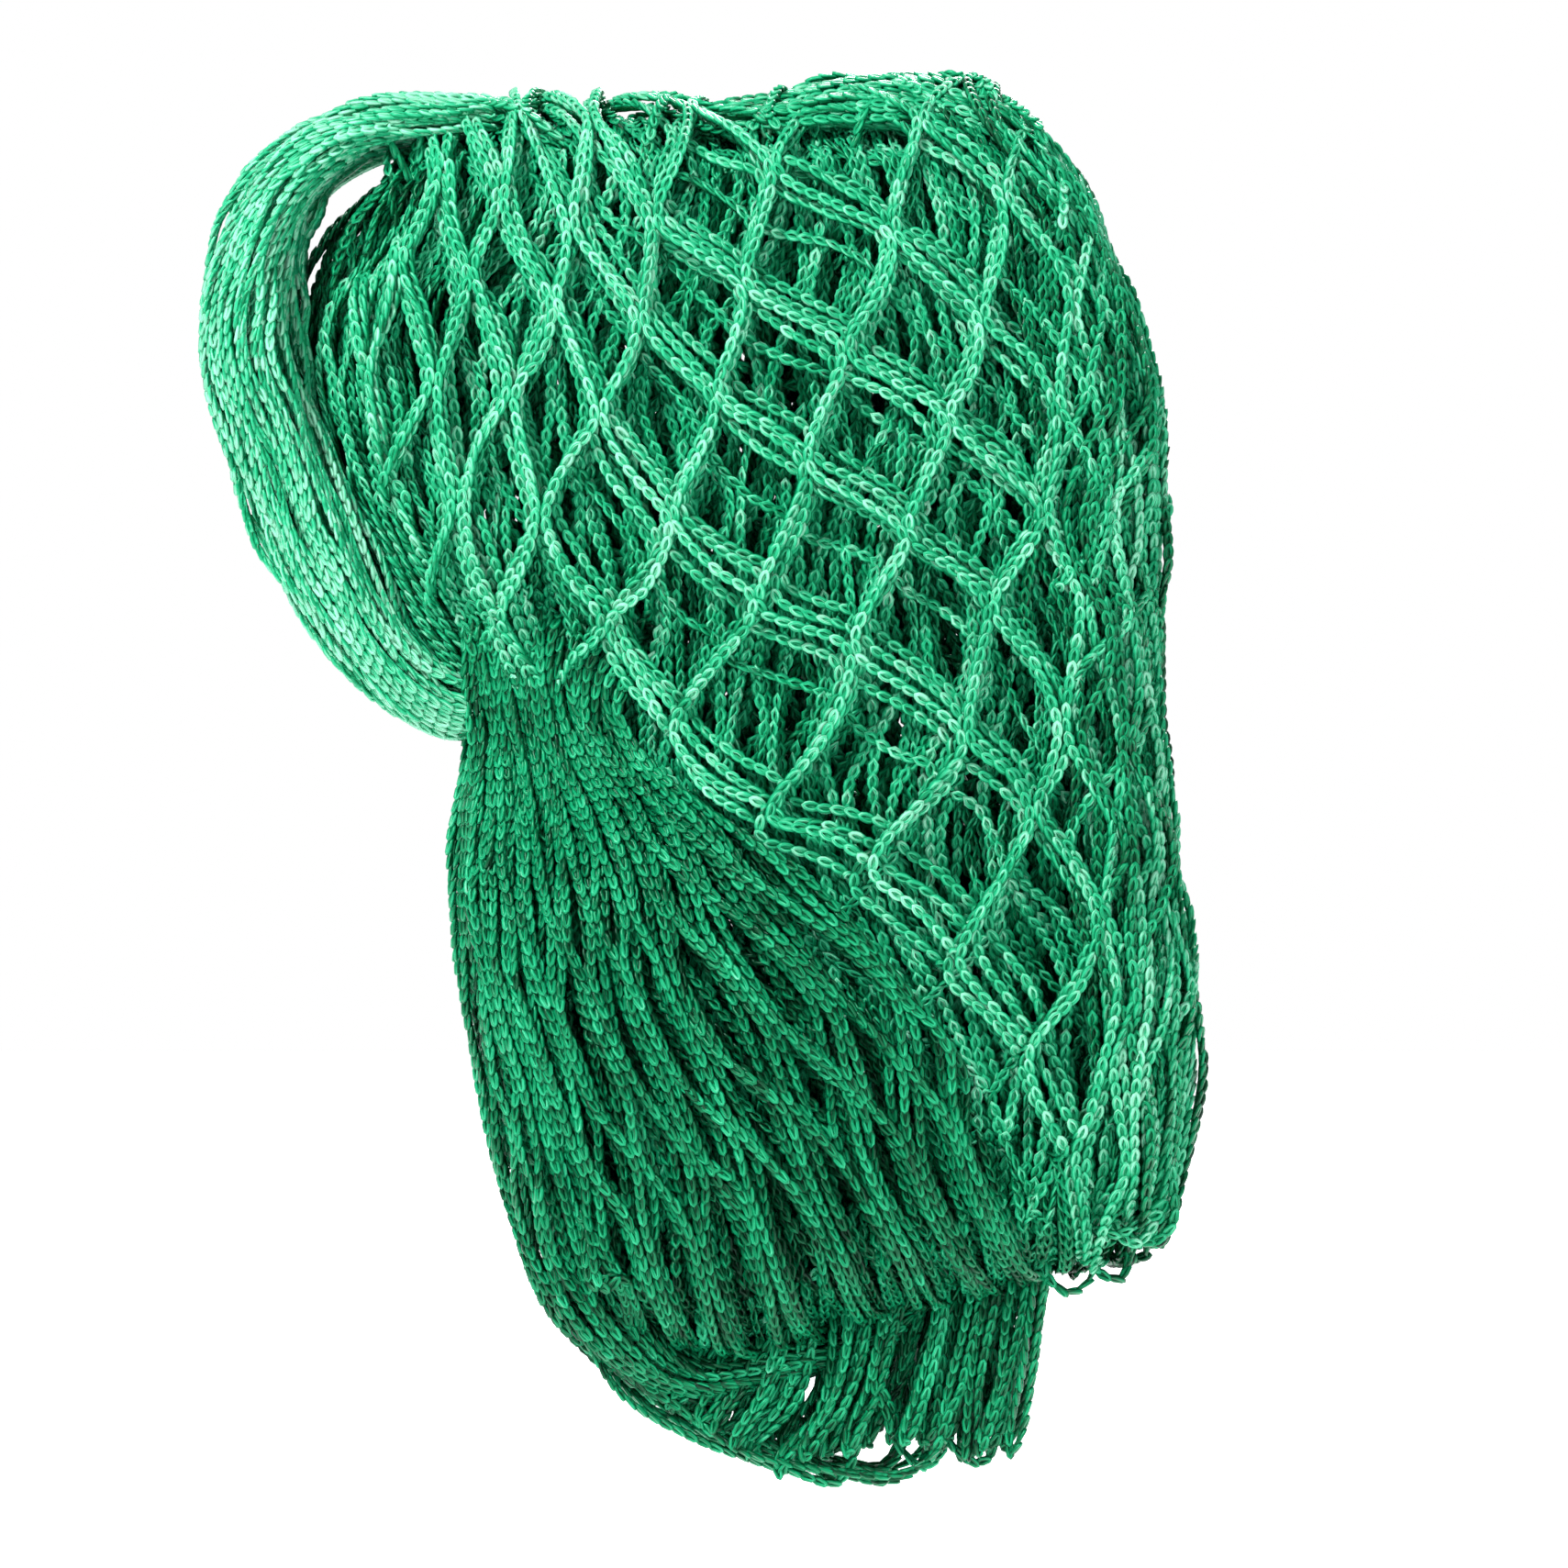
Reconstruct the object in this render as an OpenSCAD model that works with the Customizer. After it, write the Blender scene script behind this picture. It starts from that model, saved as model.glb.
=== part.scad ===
// Folded bundle of knotless fishing net, gathered at the waist and hanging from the grip.
// Millimetres. +Z is up, the front face looks towards -Y.
// The origin is the grip point in the gathered waist, half way through the bundle's depth.
// The net is one knitted panel. Each module is one fold, gather or edge of it, drawn as a plain
// closed solid with the fold's own place and size.

/* [Upper outline] */
// Left shoulder lobe: across, up, radius
shoulder_lobe = [-60, 100, 31]; // [-200:1:200]
// Left lobe under the top fold: across, up, radius
crown_left_lobe = [-38, 132, 28]; // [-200:1:200]
// Right lobe under the top fold: across, up, radius
crown_right_lobe = [104, 138, 32]; // [-200:1:200]
// Right flank lobe: across, up, radius
flank_lobe = [127, 70, 30]; // [-200:1:200]
// Right lobe level with the waist: across, up, radius
waist_right_lobe = [129, -5, 29]; // [-200:1:200]
// Gathered lobe at the grip: across, up, radius
grip_lobe = [-16, 10, 20]; // [-200:1:200]

/* [Lower outline] */
// Left lobe just under the grip: across, up, radius
under_grip_lobe = [-6, -24, 16]; // [-200:1:200]
// Left flank lobe: across, up, radius
left_flank_lobe = [-2, -60, 24]; // [-200:1:200]
// Bottom left lobe: across, up, radius
heel_lobe = [24, -138, 26]; // [-200:1:200]
// Bottom lobe where the front layers fold under: across, up, radius
fold_lobe = [112, -126, 22]; // [-200:1:200]
// Bottom right corner lobe: across, up, radius
corner_disc = [136, -100, 29]; // [-200:1:200]
// Right hip lobe: across, up, radius
hip_lobe = [132, -36, 29]; // [-200:1:200]

/* [Tail outline] */
// Top left of the tail flap: across, up, radius
tail_top_left = [26, -146, 16]; // [-200:1:200]
// Top right of the tail flap: across, up, radius
tail_top_right = [111, -144, 14]; // [-200:1:200]
// Lowest lobe of the tail flap: across, up, radius
tail_low_lobe = [76, -180, 16]; // [-200:1:200]
// Right lobe of the tail flap: across, up, radius
tail_right_lobe = [112, -170, 14]; // [-200:1:200]

/* [Layers] */
// Half depth of the two middle folds
mid_y = 15; // [8:0.5:25]
// Half depth out to the outside of the second folds
fold_y = 30; // [20:0.5:40]
// Half depth out to the open front and back layers
net_y = 44; // [30:0.5:60]
// How far the second folds stop inside the outline
fold_inset = 5; // [0:0.5:15]
// How far the open front and back layers stop inside the outline
net_inset = 13; // [5:0.5:25]

/* [Edges] */
// Middle of the line where the left gather meets the layers: across, up
gather_line = [-36, 75]; // [-100:1:100]
// Lean of that line from vertical, degrees
gather_lean = 24; // [0:1:45]
// Half depth of the left gather
gather_y = 34; // [20:0.5:44]
// Height where the layers turn over into the top fold
crown_z = 150; // [120:1:165]
// Width across where the layers turn round into the right edge
right_x = 138; // [120:1:155]
// Half depth of the top fold and the right edge
edge_y = 30; // [20:0.5:44]
// Middle of the line where the left sweep meets the layers: across, up
sweep_line = [12, -85]; // [-150:1:100]
// Lean of that line from vertical, degrees
sweep_lean = 12; // [0:1:30]
// Half depth of the left sweep
sweep_y = 30; // [20:0.5:44]
// Middle of the line where the corner lobe meets the layers: across, up
corner_line = [126, -100]; // [-150:1:150]
// Lean of that line from vertical, degrees
corner_lean = -19; // [-45:1:0]
// Top of the loose corner lobe
corner_z = -72; // [-100:1:-50]
// Half depth of the corner lobe
corner_y = 24; // [10:0.5:40]

/* [Waist swing] */
// Height of the waist swing axis
waist_axis_z = -20; // [-40:1:0]
// Height where the upper folds stop
upper_end_z = -10; // [-20:1:0]
// Drop of the lower folds below the swing axis
lower_drop = 0.5; // [0.3:0.1:3]
// Running space round the rounded waist core
waist_space = 0.6; // [0.3:0.1:2]

/* [Tail swing] */
// Height of the tail swing axis
tail_axis_z = -150; // [-170:1:-130]
// Half depth of the tail flap
tail_y = 18; // [10:0.5:25]
// Half depth of the tail's middle fold
tail_mid_y = 6; // [3:0.5:10]
// Running space round the rounded top of the tail
tail_space = 1.2; // [0.6:0.1:3]
// Height where the lower folds stop over the tail
fold_under_z = -134; // [-150:1:-120]
// Inner half depth of the two bottom folds that hang beside the tail
bottom_fold_in = 24; // [20:0.5:30]
// Outer half depth of the two bottom folds
bottom_fold_out = 38; // [30:0.5:44]
// Height where the tail's loose loops start
loops_z = -184; // [-192:1:-175]
// Half depth of the loose loops
loops_y = 12; // [4:0.5:18]

/* [Hidden] */
gap = 0.3;
far = 400;
$fn = 72;
net_green = [0.05, 0.52, 0.32];
fold_green = [0.04, 0.42, 0.26];
inner_green = [0.03, 0.32, 0.20];

// ---- helpers ----

// Lays a drawing of (across, up) as a slab between two depths.
module slab(y0, y1) {
  translate([0, y1, 0])
    rotate([90, 0, 0])
      linear_extrude(height = y1 - y0) children();
}

// Smooth outline round a list of lobes.
module lobes(list) {
  hull()
    for (lobe = list)
      translate([lobe[0], lobe[1]])
        circle(r = lobe[2]);
}

// Half plane to the left of a leaning line, moved across by a shift.
module left_of(line, lean, shift) {
  translate(line)
    rotate(lean)
      translate([shift - far, -far])
        square([far, 2 * far]);
}

// Half plane to the right of a leaning line, moved across by a shift.
module right_of_line(line, lean, shift) {
  translate(line)
    rotate(lean)
      translate([shift, -far])
        square([far, 2 * far]);
}

module above(z) {
  translate([-far, z])
    square([2 * far, far]);
}

module below(z) {
  translate([-far, z - far])
    square([2 * far, far]);
}

module right_of(x) {
  translate([x, -far])
    square([far, 2 * far]);
}

// Round bar across the bundle on a swing axis.
module axis_bar(z, r) {
  translate([-far / 2, 0, z])
    rotate([0, 90, 0])
      cylinder(r = r, h = far);
}

// ---- outlines ----

module upper_outline() {
  intersection() {
    lobes([shoulder_lobe, crown_left_lobe, crown_right_lobe, flank_lobe, waist_right_lobe,
           grip_lobe]);
    above(upper_end_z);
  }
}

module upper_layers() {
  difference() {
    upper_outline();
    left_of(gather_line, gather_lean, 0);
    above(crown_z);
    right_of(right_x);
  }
}

module lower_outline() {
  lobes([under_grip_lobe, left_flank_lobe, heel_lobe, fold_lobe, corner_disc, hip_lobe]);
}

module lower_layers() {
  difference() {
    lower_outline();
    left_of(sweep_line, sweep_lean, 0);
    right_of(right_x);
    below(fold_under_z);
    right_of_line(corner_line, corner_lean, 0);
  }
}

module tail_outline() {
  lobes([tail_top_left, tail_top_right, tail_right_lobe, tail_low_lobe]);
}

// ---- one layer of a body between two depths, stopping inside the outline ----

module upper_layer(y0, y1, inset) {
  difference() {
    slab(y0, y1)
      intersection() {
        offset(delta = -inset) upper_layers();
        above(upper_end_z);
      }
    axis_bar(waist_axis_z, mid_y + waist_space);
  }
}

module lower_layer(y0, y1, inset) {
  difference() {
    slab(y0, y1)
      intersection() {
        offset(delta = -inset) lower_layers();
        below(waist_axis_z - lower_drop);
      }
    axis_bar(tail_axis_z, tail_y + tail_space);
  }
}

// A middle fold of the lower body, with its rounded top in the waist.
module lower_core(y0, y1) {
  difference() {
    intersection() {
      slab(y0, y1) lower_layers();
      union() {
        slab(-mid_y, mid_y) below(waist_axis_z - lower_drop);
        axis_bar(waist_axis_z, mid_y);
      }
    }
    axis_bar(tail_axis_z, tail_y + tail_space);
  }
}

module tail_layer(y0, y1) {
  intersection() {
    slab(y0, y1)
      intersection() {
        tail_outline();
        above(loops_z);
      }
    union() {
      slab(-tail_y, tail_y) below(tail_axis_z);
      axis_bar(tail_axis_z, tail_y);
    }
  }
}

// ---- upper bundle, held at the grip ----

module upper_front_net() {
  color(net_green) upper_layer(-net_y, -fold_y - gap, net_inset - fold_inset);
}

module upper_front_fold() {
  color(fold_green) upper_layer(-fold_y, -mid_y - gap, fold_inset / 2);
}

module upper_core_front() {
  color(inner_green) upper_layer(-mid_y, -gap / 2, gap);
}

module upper_core_back() {
  color(inner_green) upper_layer(gap / 2, mid_y, gap);
}

module upper_back_fold() {
  color(fold_green) upper_layer(mid_y + gap, fold_y, fold_inset / 2);
}

module upper_back_net() {
  color(net_green) upper_layer(fold_y + gap, net_y, net_inset - fold_inset);
}

module gather_half(y0, y1) {
  difference() {
    slab(y0, y1)
      intersection() {
        upper_outline();
        left_of(gather_line, gather_lean, -gap);
      }
    axis_bar(waist_axis_z, mid_y + waist_space);
  }
}

module left_gather_front() {
  color(net_green) gather_half(-gather_y, -gap / 2);
}

module left_gather_back() {
  color(net_green) gather_half(gap / 2, gather_y);
}

module top_fold() {
  color(net_green)
    slab(-edge_y, edge_y)
      difference() {
        upper_outline();
        below(crown_z + gap);
        left_of(gather_line, gather_lean, gap);
      }
}

module upper_right_edge() {
  color(fold_green)
    slab(-edge_y, edge_y)
      intersection() {
        upper_outline();
        right_of(right_x + gap);
        below(crown_z);
      }
}

// ---- lower bundle, swings at the waist ----

module lower_front_net() {
  color(net_green) lower_layer(-net_y, -fold_y - gap, net_inset - fold_inset);
}

module lower_front_fold() {
  color(fold_green) lower_layer(-fold_y, -mid_y - gap, fold_inset / 2);
}

module lower_core_front() {
  color(inner_green) lower_core(-mid_y, -gap / 2);
}

module lower_core_back() {
  color(inner_green) lower_core(gap / 2, mid_y);
}

module lower_back_fold() {
  color(fold_green) lower_layer(mid_y + gap, fold_y, fold_inset / 2);
}

module lower_back_net() {
  color(net_green) lower_layer(fold_y + gap, net_y, net_inset - fold_inset);
}

module left_sweep() {
  color(net_green)
    difference() {
      slab(-sweep_y, sweep_y)
        intersection() {
          lower_outline();
          left_of(sweep_line, sweep_lean, -gap);
          below(waist_axis_z - lower_drop);
          above(fold_under_z);
        }
      axis_bar(tail_axis_z, tail_y + tail_space);
    }
}

module lower_right_edge() {
  color(fold_green)
    slab(-edge_y, edge_y)
      intersection() {
        lower_outline();
        right_of(right_x + gap);
        below(waist_axis_z - lower_drop);
        above(corner_z + gap);
      }
}

module corner_lobe() {
  color(net_green)
    difference() {
      slab(-corner_y, corner_y)
        intersection() {
          lower_outline();
          right_of_line(corner_line, corner_lean, gap);
          below(corner_z);
          above(fold_under_z);
        }
      axis_bar(tail_axis_z, tail_y + tail_space);
    }
}

module bottom_fold(y0, y1) {
  slab(y0, y1)
    intersection() {
      lower_outline();
      below(fold_under_z - gap);
    }
}

module bottom_fold_front() {
  color(net_green) bottom_fold(-bottom_fold_out, -bottom_fold_in);
}

module bottom_fold_back() {
  color(net_green) bottom_fold(bottom_fold_in, bottom_fold_out);
}

// ---- tail flap, swings under the bottom folds ----

module tail_front() {
  color(net_green) tail_layer(-tail_y, -tail_mid_y - gap);
}

module tail_middle() {
  color(fold_green) tail_layer(-tail_mid_y, tail_mid_y);
}

module tail_back() {
  color(net_green) tail_layer(tail_mid_y + gap, tail_y);
}

module tail_loops() {
  color(net_green)
    slab(-loops_y, loops_y)
      intersection() {
        tail_outline();
        below(loops_z - gap);
      }
}

upper_front_net();
upper_front_fold();
upper_core_front();
upper_core_back();
upper_back_fold();
upper_back_net();
left_gather_front();
left_gather_back();
top_fold();
upper_right_edge();
lower_front_net();
lower_front_fold();
lower_core_front();
lower_core_back();
lower_back_fold();
lower_back_net();
left_sweep();
lower_right_edge();
corner_lobe();
bottom_fold_front();
bottom_fold_back();
tail_front();
tail_middle();
tail_back();
tail_loops();
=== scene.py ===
import bpy
import math
import numpy as np
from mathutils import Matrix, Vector


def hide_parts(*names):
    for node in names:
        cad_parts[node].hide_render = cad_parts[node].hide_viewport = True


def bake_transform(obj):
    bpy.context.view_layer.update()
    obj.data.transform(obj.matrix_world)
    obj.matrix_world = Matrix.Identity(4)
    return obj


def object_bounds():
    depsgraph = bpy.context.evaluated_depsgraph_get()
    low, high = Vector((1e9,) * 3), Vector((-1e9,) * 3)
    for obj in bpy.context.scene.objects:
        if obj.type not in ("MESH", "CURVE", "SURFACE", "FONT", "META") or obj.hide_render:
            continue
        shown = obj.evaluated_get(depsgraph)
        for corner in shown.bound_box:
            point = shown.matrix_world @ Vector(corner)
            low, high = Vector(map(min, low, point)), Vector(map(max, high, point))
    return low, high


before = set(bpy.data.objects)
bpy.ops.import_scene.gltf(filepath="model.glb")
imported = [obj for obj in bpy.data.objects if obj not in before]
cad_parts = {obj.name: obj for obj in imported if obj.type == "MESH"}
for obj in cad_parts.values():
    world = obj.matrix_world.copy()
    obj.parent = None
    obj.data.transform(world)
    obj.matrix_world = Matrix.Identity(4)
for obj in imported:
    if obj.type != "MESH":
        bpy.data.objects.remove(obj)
CAD_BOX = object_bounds()
LO = np.array(CAD_BOX[0]) * 1000
HI = np.array(CAD_BOX[1]) * 1000

# ---- driving values: millimetres from the grip, unless said otherwise ----
CHAIN_W = 2.9          # width of one chain
PITCH = 3.5            # length of one stitch
BAR = 31.0             # side of an open mesh
ROW = 29.0             # height of a closed mesh
HALF_D = HI[1]
WAIST_Z = -15.0        # where the upper folds end
HEM_Z = -112.0         # where the hem turns into the bottom fold
TOP_Z = 156.0          # above this is the top fold
EDGE_X = 146.0         # right of this are the right edges
LOBE_Z = -72.0         # below this the right edge is the corner lobe
LOOP_Z = -184.0        # below this are the flap's loops
TAIL_HALF = 6.0        # half the depth of the flap's middle layer
ROLL_X = 0.17          # share of the half width that turns under at the sides
ROLL_Z = 0.11          # share of the half height that turns under at the top and bottom
EYE_D = 950.0          # distance of the camera
MID_X = (LO[0] + HI[0]) / 2 + 23
MID_Z = (LO[2] + HI[2]) / 2

# Left and right outline of the layered part: height, across
LEFT_SIDE = [(-168, 16), (-146, 3), (-106, -10), (-78, -18), (-47, -23), (-12, -24),
             (12, -30), (47, -54), (88, -69), (114, -68), (128, -54), (146, -44), (172, -40)]
RIGHT_SIDE = [(-150, 149), (-127, 158), (-112, 165), (-85, 165), (-62, 168), (-45, 163),
              (-24, 160), (20, 157), (78, 158), (95, 156), (111, 150), (141, 138), (158, 122),
              (172, 112)]
# Top and bottom outline: across, height
TOP_LINE = [(-70, 132), (-55, 150), (-24, 163), (0, 166), (20, 165), (47, 163), (92, 170),
            (106, 170), (118, 165), (130, 151), (145, 134)]
LOW_LINE = [(-20, -100), (-4, -142), (14, -160), (47, -165), (80, -156), (115, -149),
            (130, -144), (144, -139), (156, -125), (167, -104)]

rng = np.random.default_rng(11)


# ---- small vector helpers ----

def unit(v):
    return v / np.maximum(np.linalg.norm(v, axis=-1, keepdims=True), 1e-9)


def curve(table, at):
    """Piecewise line through a short list, with its corners rounded."""
    keys = np.array(table, float)
    span = (keys[-1, 0] - keys[0, 0]) * 0.03
    return sum(np.interp(at + k * span, keys[:, 0], keys[:, 1]) for k in (-1, 0, 1)) / 3


def along_curve(points, share):
    """Point at a share of the way along a short list of points."""
    p = spline(np.array(points, float), 12)
    d = np.concatenate([[0], np.cumsum(np.linalg.norm(np.diff(p, axis=0), axis=1))])
    return np.stack([np.interp(share * d[-1], d, p[:, k]) for k in range(p.shape[1])], -1)


class Waves:
    """Smooth seeded noise over (across, up), about -1 to 1."""

    def __init__(self, seed, size):
        r = np.random.default_rng(seed)
        angle = r.uniform(0, 2 * math.pi, 7)
        rate = 2 * math.pi / (size * r.uniform(0.6, 1.8, 7))
        self.kx = np.cos(angle) * rate
        self.kz = np.sin(angle) * rate
        self.phase = r.uniform(0, 2 * math.pi, 7)

    def __call__(self, x, z):
        x = np.asarray(x, float)[..., None]
        z = np.asarray(z, float)[..., None]
        return np.sin(x * self.kx + z * self.kz + self.phase).sum(-1) / 3.2


# ---- the bundle's shape ----

def wrap(s, roll):
    """Unfolded share to (place from -1 to 1, facing from 1 at the front to -1 at the back)."""
    a = np.abs(s)
    turn = (a - (1 - roll)) / roll
    angle = np.clip(turn, 0, math.pi)
    place = np.where(turn < 0, a, 1 - roll + roll * np.sin(angle))
    place = np.where(turn > math.pi, 1 - roll - (turn - math.pi) * roll, place)
    return np.sign(s) * place, np.cos(angle)


def pinch(x, z):
    """The grip squeezes the waist's left end."""
    return 1 - 0.62 * np.exp(-((x + 6) / 46) ** 2 - ((z - 2) / 36) ** 2)


def shares(x, z):
    left = curve(LEFT_SIDE, z)
    right = curve(RIGHT_SIDE, z)
    low = curve(LOW_LINE, x)
    top = curve(TOP_LINE, x)
    return 2 * (x - left) / (right - left) - 1, 2 * (z - low) / (top - low) - 1


def shell(x, z, inset, back=False):
    """Lays a flat point (across, up) on a layer of the bundle; past an edge it turns under."""
    x = np.asarray(x, float)
    z = np.asarray(z, float)
    s, t = shares(x, z)
    ps, cs = wrap(s, ROLL_X)
    pt, ct = wrap(t, ROLL_Z)
    xi = np.clip(x, -60, 150)
    low = curve(LOW_LINE, xi) + inset * 0.8
    top = curve(TOP_LINE, xi) - inset * 0.8
    zz = np.where(np.abs(t) > 1 - ROLL_Z, low + (top - low) * (pt + 1) / 2, z)
    left = curve(LEFT_SIDE, zz) + inset * 0.5
    right = curve(RIGHT_SIDE, zz) - inset
    xx = np.where(np.abs(s) > 1 - ROLL_X, left + (right - left) * (ps + 1) / 2, x)
    facing = np.where((cs < 0) | (ct < 0), np.minimum(cs, ct), cs * ct)
    bulge = 0.6 + 0.4 * (1 - ps ** 2) * (1 - pt ** 4)
    y = -(HALF_D - inset) * bulge * pinch(xx, zz) * facing
    if back:
        y = -y
    near = 1 + np.minimum(y, 0) / EYE_D
    xx = MID_X + (xx - MID_X) * near
    zz = MID_Z + (zz - MID_Z) * near
    return np.stack([xx, y, zz], -1)


def look(grid, a, b):
    """Reads a table of points at column a and row b, between its entries."""
    a = np.clip(a, 0, grid.shape[1] - 1.001)
    b = np.clip(b, 0, grid.shape[0] - 1.001)
    i, k = a.astype(int), b.astype(int)
    fa, fb = (a - i)[..., None], (b - k)[..., None]
    low = grid[k, i] * (1 - fa) + grid[k, i + 1] * fa
    high = grid[k + 1, i] * (1 - fa) + grid[k + 1, i + 1] * fa
    return low * (1 - fb) + high * fb


# ---- strands ----

def spline(p, steps=8):
    """Smooth line through the points."""
    if len(p) < 3:
        f = np.linspace(0, 1, steps + 1)[:, None]
        return p[0] * (1 - f) + p[-1] * f
    a = np.concatenate([[2 * p[0] - p[1]], p, [2 * p[-1] - p[-2]]])
    d = np.sqrt(np.maximum(np.linalg.norm(np.diff(a, axis=0), axis=1), 1e-3))
    t = np.concatenate([[0], np.cumsum(d)])
    t0, t1, t2, t3 = (t[k:len(t) - 3 + k, None, None] for k in range(4))
    p0, p1, p2, p3 = (a[k:len(a) - 3 + k, None, :] for k in range(4))
    u = t1 + (t2 - t1) * np.linspace(0, 1, steps, endpoint=False)[None, :, None]
    a1 = ((t1 - u) * p0 + (u - t0) * p1) / (t1 - t0)
    a2 = ((t2 - u) * p1 + (u - t1) * p2) / (t2 - t1)
    a3 = ((t3 - u) * p2 + (u - t2) * p3) / (t3 - t2)
    b1 = ((t2 - u) * a1 + (u - t0) * a2) / (t2 - t0)
    b2 = ((t3 - u) * a2 + (u - t1) * a3) / (t3 - t1)
    c = ((t2 - u) * b1 + (u - t1) * b2) / (t2 - t1)
    return np.concatenate([c.reshape(-1, p.shape[1]), p[-1:]])


def outward(p):
    """Rough outward direction of the bundle's surface."""
    x = (p[:, 0] - 60) / 105
    y = p[:, 1] / 26
    z = (p[:, 2] + 8) / 178
    return unit(np.stack([x ** 3, y + 1e-3, z ** 5], -1))


class Strand:
    """Even stitches along a smooth line through some points."""

    def __init__(self, points, kind, tone, roll=0.45):
        p = spline(np.asarray(points, float))
        seg = np.linalg.norm(np.diff(p, axis=0), axis=1)
        length = np.concatenate([[0], np.cumsum(seg)])
        count = max(int(length[-1] / PITCH), 2)
        at = np.arange(count + 1) * (length[-1] / count)
        q = np.stack([np.interp(at, length, p[:, k]) for k in range(3)], -1)
        self.pos = q[:-1]
        self.tangent = unit(q[1:] - q[:-1])
        self.stretch = np.linalg.norm(q[1:] - q[:-1], axis=1) / PITCH
        out = outward((q[:-1] + q[1:]) / 2)
        normal = unit(out - (out * self.tangent).sum(-1, keepdims=True) * self.tangent)
        side = np.cross(self.tangent, normal)
        phase = rng.uniform(0, 6.28, 2)
        twist = roll * (np.sin(at[:-1] / 17 + phase[0]) + 0.7 * np.sin(at[:-1] / 7.3 + phase[1]))
        twist = twist + rng.normal(0, 0.16, count)
        c, w = np.cos(twist)[:, None], np.sin(twist)[:, None]
        self.normal = normal * c + side * w
        self.side = side * c - normal * w
        self.kind = kind
        # Stitches more than 95 mm below the grip are painted darker, by up to 0.12 at 155 mm:
        # painted shade, darker towards the bottom as the light falls from above. The random
        # spread is the net's own tone.
        low = np.clip((self.pos[:, 2] + 95) / 60, -1, 0)
        self.tone = tone + 0.12 * low + rng.normal(0, 0.09, count)


strands = []

NEAR = 0.02            # step for reading a direction off a layer

# How far a strand's end points turn in towards the middle, as shares of their depth
TURN_IN = ((0, 0.7), (1, 0.35), (-2, 0.35), (-1, 0.7))


def tuck(p):
    """Turns both ends of a strand in towards the middle of the bundle."""
    p = np.array(p)
    for k, share in TURN_IN:
        p[k, 0] += (60 - p[k, 0]) * share * 0.08
        p[k, 1] *= 1 - share
        p[k, 2] *= 1 - share * 0.08
    return p


def runs(good):
    """Start and end of each stretch of points that are kept."""
    start = None
    for k in range(len(good) + 1):
        inside = k < len(good) and good[k]
        if inside and start is None:
            start = k
        if not inside and start is not None:
            yield start, k
            start = None


def net(place, wales, rows, kind, tone, joint=5.0, wiggle=1.0, seed=1, roll=0.45, keep=None):
    """Strands of a knotless net: each wale joins its left and right neighbour by turns."""
    r = np.random.default_rng(seed)
    j = np.arange(rows[0], rows[1] + 1)
    for i in range(wales[0], wales[1] + 1):
        right = (i + j) % 2 == 0
        centre = np.where(right, i + 0.5, i - 0.5)
        c = place(centre, j)
        across = unit(place(centre + NEAR, j) - place(centre - NEAR, j))
        up = unit(place(centre, j + NEAR) - place(centre, j - NEAR))
        c = c + across * (np.where(right, -0.5, 0.5) * CHAIN_W * 0.9)[:, None]
        mid = place(np.full(len(j) - 1, float(i)), j[:-1] + 0.5)
        mid = mid + r.normal(0, wiggle, mid.shape)
        pts = np.empty((len(j) * 3 - 1, 3))
        pts[0::3] = c - up * joint / 2
        pts[1::3] = c + up * joint / 2
        pts[2::3] = mid
        rows_at = np.empty(len(pts))
        rows_at[0::3] = j - 0.1
        rows_at[1::3] = j + 0.1
        rows_at[2::3] = j[:-1] + 0.5
        shade = tone + r.normal(0, 0.07)
        good = np.ones(len(pts), bool) if keep is None else keep(pts, i, rows_at)
        for start, end in runs(good):
            if end - start > 3:
                strands.append(Strand(tuck(pts[start:end]), kind, shade, roll))


# ---- open diamond layers over the front and the back ----

ORIGIN = (33.0, 83.0)
FIRST_Q, LAST_Q = -10, 7       # line numbers of the steep lines' joints
FIRST_P, LAST_P = -7, 10       # line numbers of the other lines' joints
LAST_LINE = -2.35              # the open net's lower left border, in line numbers
GRIP_TOP = -4.0                # left of the first line it ends at the grip instead

# The same border for the layers below: across, height
BORDER = [(-30, 10, 22, 60, 108, 150), (12, 12, -2, -44, -96, -156)]
OVERLAP = 22.0                 # how far those layers reach past it


def fall_angle(x, z):
    """Slope of the lines that fall to the right, in radians: steep at both sides."""
    across = np.interp(x, [-60, -20, 5, 20, 40, 62, 98, 124, 150],
                       [84, 74, 63, 52, 39, 31, 37, 56, 76])
    return np.radians(across + np.interp(z, [-130, -60, 0], [14, 7, 0]))


def lattice_maker():
    """Table of the open net's joints: steep lines lean right, the others fall to the right."""
    q = np.arange(FIRST_Q, LAST_Q + 1)
    p = np.arange(FIRST_P, LAST_P + 1)
    lean_a = np.radians(np.interp(q + 0.5, [-7, -4, -1.5, 0, 3], [47, 52, 62, 70, 74]))
    zero_q, zero_p = -FIRST_Q, -FIRST_P
    x0 = np.concatenate([[0], np.cumsum(np.cos(lean_a) * BAR)])[:-1]
    z0 = np.concatenate([[0], np.cumsum(np.sin(lean_a) * BAR)])[:-1]
    grid = np.zeros((len(q), len(p), 2))
    grid[:, zero_p, 0] = ORIGIN[0] + x0 - x0[zero_q]
    grid[:, zero_p, 1] = ORIGIN[1] + z0 - z0[zero_q]
    for way in (1, -1):
        last = len(p) - 1 if way > 0 else 0
        for k in range(zero_p, last, way):
            x, z = grid[:, k, 0], grid[:, k, 1]
            for part in range(4):
                slope = fall_angle(x, z)
                x = x + way * np.cos(slope) * BAR / 4
                z = z - way * np.sin(slope) * BAR / 4
            grid[:, k + way] = np.stack([x, z], -1)
    return grid


GRID = lattice_maker()
WARP_X = Waves(21, 80)
WARP_Z = Waves(71, 80)


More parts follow.
